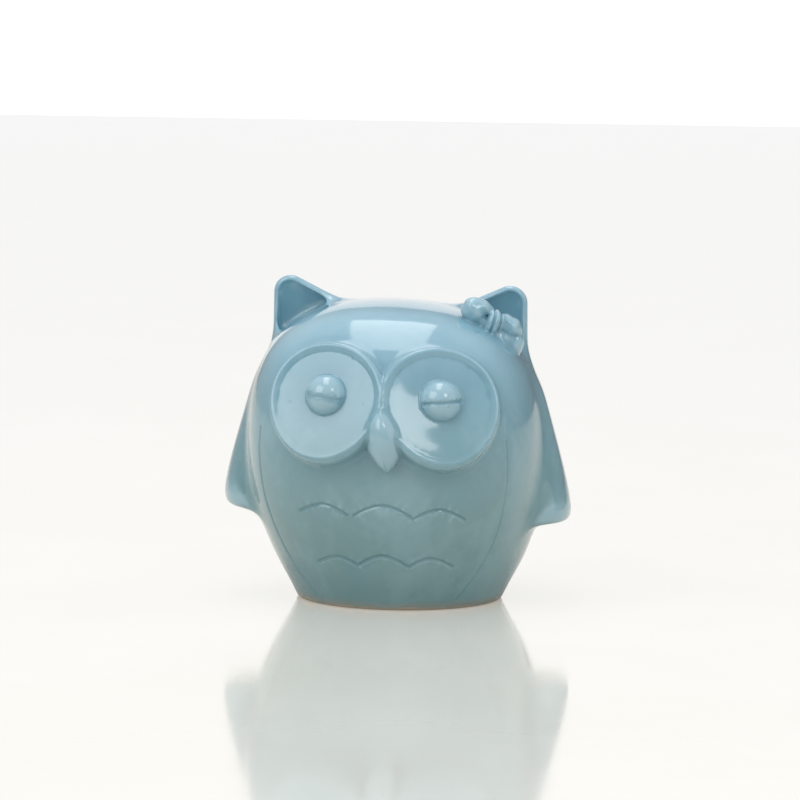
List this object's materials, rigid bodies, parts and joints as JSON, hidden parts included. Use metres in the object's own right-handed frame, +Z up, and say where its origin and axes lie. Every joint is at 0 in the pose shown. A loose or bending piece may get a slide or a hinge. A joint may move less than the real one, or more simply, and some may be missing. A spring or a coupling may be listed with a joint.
{
  "type": "figural animal coin bank",
  "caption": "Hollow glazed ceramic owl coin bank with cupped ears, wing fins, dished eyes and a bow, and a pull-out stopper in the foot.",
  "frame": {"origin": "on the resting plane, under the middle of the whole box", "axes": "+Z up, the owl faces -Y, its own left side is +X"},
  "size_m": [0.105, 0.0938, 0.097],
  "materials": {
    "glaze": "gloss",
    "stopper": "satin"
  },
  "bodies": {
    "bank": {"body_shell": "glaze", "left_ear": "glaze", "right_ear": "glaze", "left_wing": "glaze", "right_wing": "glaze", "left_eye_disc": "glaze", "right_eye_disc": "glaze", "left_eye": "glaze", "right_eye": "glaze", "beak": "glaze", "bow_inner_loop": "glaze", "bow_outer_loop": "glaze", "bow_knot": "glaze"},
    "stopper": {"stopper": "stopper"}
  },
  "joints": [
    {"name": "stopper_pull", "type": "slide", "parent": "bank", "child": "stopper", "axis": [0, 0, -1], "range_m": [0, 0.02]}
  ]
}
